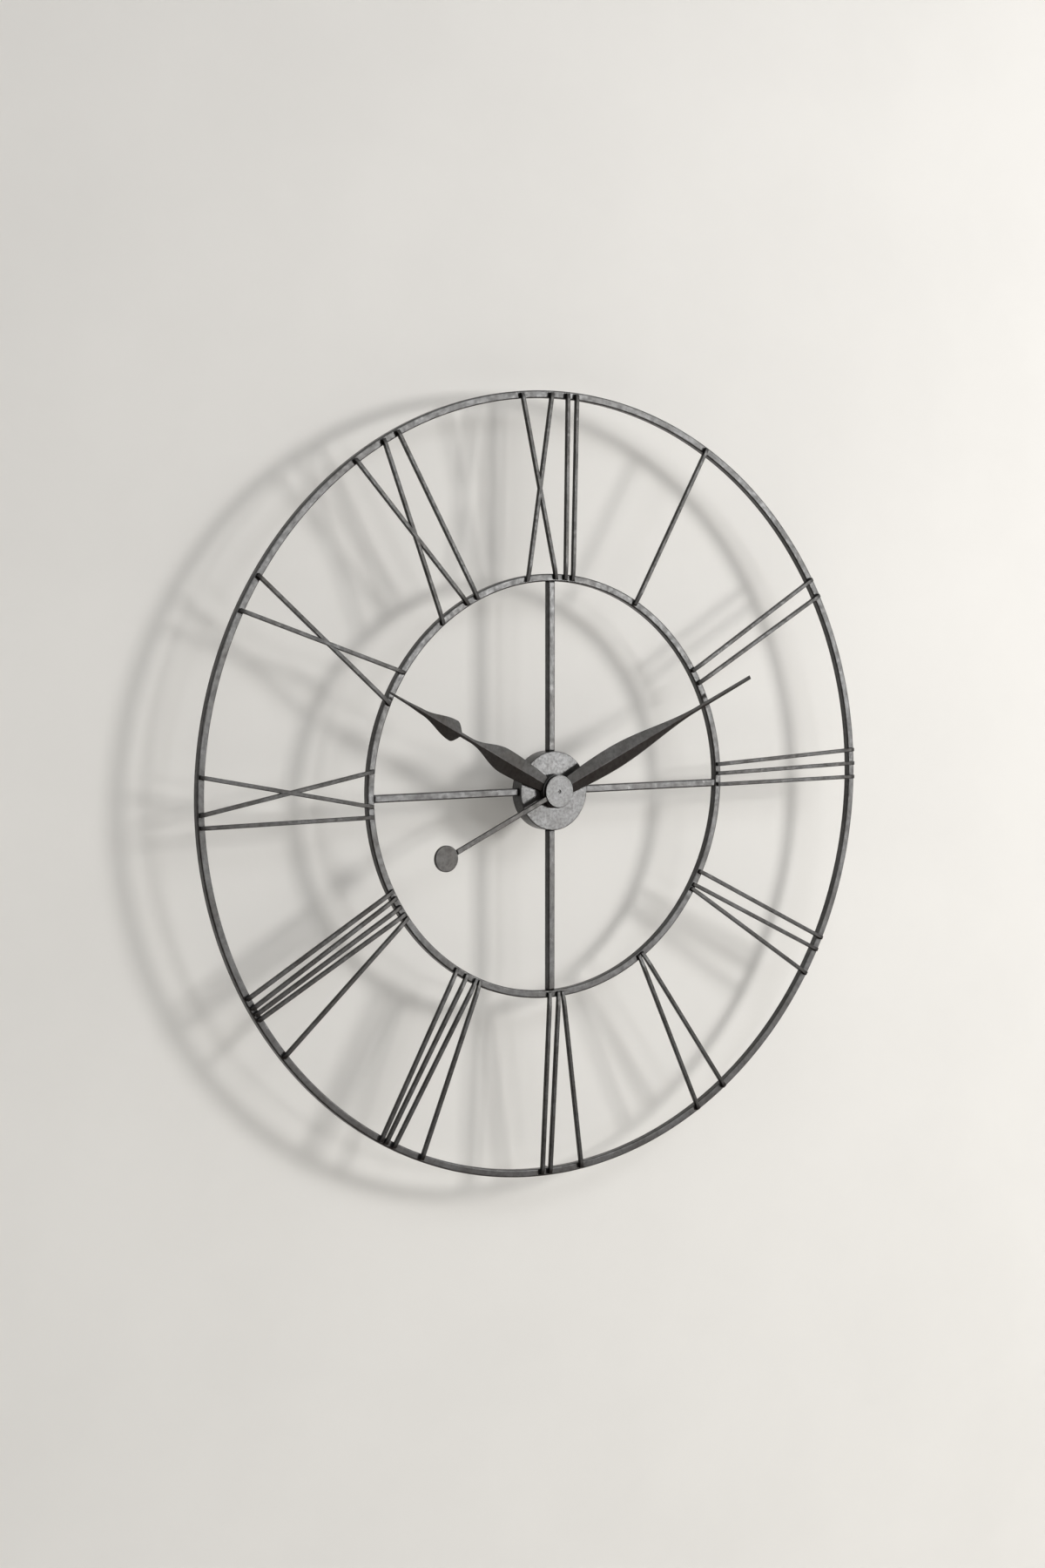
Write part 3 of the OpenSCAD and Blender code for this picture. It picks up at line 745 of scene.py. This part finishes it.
for node, material in {
    "hanger_bar": ZINC, "wall_bumpers": RUBBER, "movement_case": CASE, "movement_cover": CASE,
    "rubber_washer": RUBBER, "steel_washer": ZINC, "bushing_nut": BRASS, "battery": SLEEVE,
    "contact_positive": ZINC, "contact_negative": ZINC, "circuit_board": GREEN,
    "quartz_crystal": STEEL, "coil": COPPER, "stator": STEEL, "train_plate": WHEEL_PLASTIC,
    # Painted shade: the minute arbor wears the dark hand iron instead of steel, so that the centre hole
    # reads dark
    "hour_wheel": WHEEL_PLASTIC, "minute_arbor": HAND_IRON, "centre_wheel": BRASS,
    "motion_wheel": WHEEL_PLASTIC, "third_wheel": WHEEL_PLASTIC, "rotor": WHEEL_PLASTIC,
    "rotor_magnet": MAGNET, "setting_knob": CASE,
}.items():
    dress_node(node, material)


# ---------------------------------------------------------------- stage

def plane(name, corners, material):
    """Flat piece of the stage, which is not part of the clock."""
    obj = new_object(name, corners, [(0, 1, 2, 3)])
    dress(obj, material)
    return obj


def plaster(name, colour):
    """Matt off-white paint with the faint weave of a roller."""
    n = Nodes(name)
    cloud = n.noise(2.5, 4, 0.6)
    darker = tuple(c * 0.97 for c in colour)
    tone = n.ramp(cloud, "Fac", [(0.35, darker), (0.65, colour)])
    n.link(tone, "Color", n.shader, "Base Color")
    n.shader.inputs["Roughness"].default_value = 0.9
    n.shader.inputs["Specular IOR Level"].default_value = 0.1
    weave = n.noise(260, 3, 0.6)
    n.bump([(weave, "Fac", 0.08, 0.001)])
    return n


def one_sided(n):
    """Lets the backdrop be seen from its front only, so that it doesn't hide the back of the clock."""
    side = n.add("ShaderNodeNewGeometry")
    clear = n.add("ShaderNodeBsdfTransparent")
    both = n.add("ShaderNodeMixShader")
    n.link(side, "Backfacing", both, "Fac")
    n.link(n.shader, "BSDF", both, 1)
    n.link(clear, "BSDF", both, 2)
    n.link(both, "Shader", n.out, "Surface")


FLOOR_Z = -1.8
WALL_Y = 0.06
wall_paint = plaster("wall_paint", (0.795, 0.781, 0.757))
one_sided(wall_paint)
wall = plane("wall", [(-4, WALL_Y, FLOOR_Z), (4, WALL_Y, FLOOR_Z), (4, WALL_Y, 2.5), (-4, WALL_Y, 2.5)],
             wall_paint.material)
wall.visible_shadow = False
floor = plane("floor", [(-6, -7, FLOOR_Z), (6, -7, FLOOR_Z), (6, 6, FLOOR_Z), (-6, 6, FLOOR_Z)],
              plaster("floor_paint", (0.80, 0.785, 0.755)).material)
floor.visible_glossy = False


def area_light(name, place, target, width, height, power, colour):
    """Soft lamp that lights the scene but isn't seen in the metal, which reflects the room light."""
    light = bpy.data.lights.new(name, "AREA")
    light.shape = "RECTANGLE"
    light.size = width
    light.size_y = height
    light.energy = power
    light.color = colour
    obj = bpy.data.objects.new(name, light)
    bpy.context.scene.collection.objects.link(obj)
    obj.location = place
    obj.rotation_euler = (Vector(target) - Vector(place)).to_track_quat("-Z", "Y").to_euler()
    obj.visible_glossy = False


area_light("key_light", (3.4, -3.0, 0.9), (0, 0, 0), 0.8, 0.95, 98, (1.0, 0.985, 0.96))
area_light("top_light", (1.6, -3.6, 2.6), (0, 0, 0.3), 2.4, 1.2, 35, (0.97, 0.985, 1.0))
area_light("back_light", (-1.0, 3.5, 1.5), (0, 0, 0), 3.0, 2.0, 60, (1.0, 1.0, 1.0))

# Colours of the room light below and above the clock, and where the camera sees it
ROOM_LOW = (0.095, 0.064, 0.05, 1)
ROOM_HIGH = (0.80, 0.80, 0.79, 1)
SEEN_COLOUR = (0.70, 0.69, 0.665, 1)
# Upward part of the direction between which low turns to high; sideways part between which the
# dimmer left turns to the right; strength of the left
ROOM_RISE = (-0.26, 0.22)
ROOM_ACROSS = (0.2, 0.8)
ROOM_LEFT = 0.52
# The window in the room light: direction and half angles in degrees. It lies about where the front
# of the dial mirrors it towards the photo's camera
WINDOW_AZIMUTH = 34.5
WINDOW_ELEVATION = 0
WINDOW_CORE = 2
WINDOW_EDGE = 8
WINDOW_STRENGTH = 8
WINDOW_COLOUR = (1.0, 1.0, 0.985, 1)


def studio_world():
    """Room light: a soft window on the right, pale above, dark and warm below; pale where it is seen."""
    world = bpy.data.worlds.new("studio")
    bpy.context.scene.world = world
    world.use_nodes = True
    tree = world.node_tree
    tree.nodes.clear()

    def add(kind, **values):
        node = tree.nodes.new(kind)
        for key, value in values.items():
            setattr(node, key, value)
        return node

    def smooth_range(source, from_min, from_max, to_min, to_max):
        node = add("ShaderNodeMapRange", interpolation_type="SMOOTHSTEP")
        node.inputs["From Min"].default_value = from_min
        node.inputs["From Max"].default_value = from_max
        node.inputs["To Min"].default_value = to_min
        node.inputs["To Max"].default_value = to_max
        tree.links.new(source, node.inputs["Value"])
        return node.outputs["Result"]

    coords = add("ShaderNodeTexCoord")
    split = add("ShaderNodeSeparateXYZ")
    tree.links.new(coords.outputs["Generated"], split.inputs[0])

    colour = add("ShaderNodeValToRGB")
    stops = colour.color_ramp.elements
    stops[0].color = ROOM_LOW
    stops[1].color = ROOM_HIGH
    tree.links.new(smooth_range(split.outputs["Z"], *ROOM_RISE, 0, 1), colour.inputs["Fac"])
    room = add("ShaderNodeBackground")
    tree.links.new(colour.outputs["Color"], room.inputs["Color"])
    tree.links.new(smooth_range(split.outputs["X"], *ROOM_ACROSS, ROOM_LEFT, 1.0),
                   room.inputs["Strength"])

    towards = add("ShaderNodeVectorMath", operation="DOT_PRODUCT")
    tree.links.new(coords.outputs["Generated"], towards.inputs[0])
    azimuth, elevation = math.radians(WINDOW_AZIMUTH), math.radians(WINDOW_ELEVATION)
    towards.inputs[1].default_value = (
        math.sin(azimuth) * math.cos(elevation),
        -math.cos(azimuth) * math.cos(elevation),
        math.sin(elevation),
    )
    window = add("ShaderNodeBackground")
    window.inputs["Color"].default_value = WINDOW_COLOUR
    edge = math.cos(math.radians(WINDOW_EDGE))
    core = math.cos(math.radians(WINDOW_CORE))
    tree.links.new(smooth_range(towards.outputs["Value"], edge, core, 0, WINDOW_STRENGTH),
                   window.inputs["Strength"])
    light = add("ShaderNodeAddShader")
    tree.links.new(room.outputs[0], light.inputs[0])
    tree.links.new(window.outputs[0], light.inputs[1])

    seen = add("ShaderNodeBackground")
    seen.inputs["Color"].default_value = SEEN_COLOUR
    path = add("ShaderNodeLightPath")
    both = add("ShaderNodeMixShader")
    tree.links.new(path.outputs["Is Camera Ray"], both.inputs[0])
    tree.links.new(light.outputs[0], both.inputs[1])
    tree.links.new(seen.outputs[0], both.inputs[2])
    out = add("ShaderNodeOutputWorld")
    tree.links.new(both.outputs[0], out.inputs["Surface"])


studio_world()
bpy.context.scene.view_settings.view_transform = "Standard"

# ---------------------------------------------------------------- camera

CAMERA_TARGET = Vector((-0.0555, -0.019, -0.0273))
CAMERA_AZIMUTH = math.radians(-33.25)
CAMERA_ELEVATION = math.radians(4.14)
CAMERA_DISTANCE = 4.1856
CAMERA_LENS = 61.4
CAMERA_SENSOR = 36
offset = Vector((
    math.sin(CAMERA_AZIMUTH) * math.cos(CAMERA_ELEVATION),
    -math.cos(CAMERA_AZIMUTH) * math.cos(CAMERA_ELEVATION),
    math.sin(CAMERA_ELEVATION),
))
camera_data = bpy.data.cameras.new("camera")
camera_data.sensor_width = CAMERA_SENSOR
camera_data.lens = CAMERA_LENS
camera = bpy.data.objects.new("camera", camera_data)
bpy.context.scene.collection.objects.link(camera)
camera.location = CAMERA_TARGET + offset * CAMERA_DISTANCE
camera.rotation_euler = (-offset).to_track_quat("-Z", "Y").to_euler()
bpy.context.scene.camera = camera
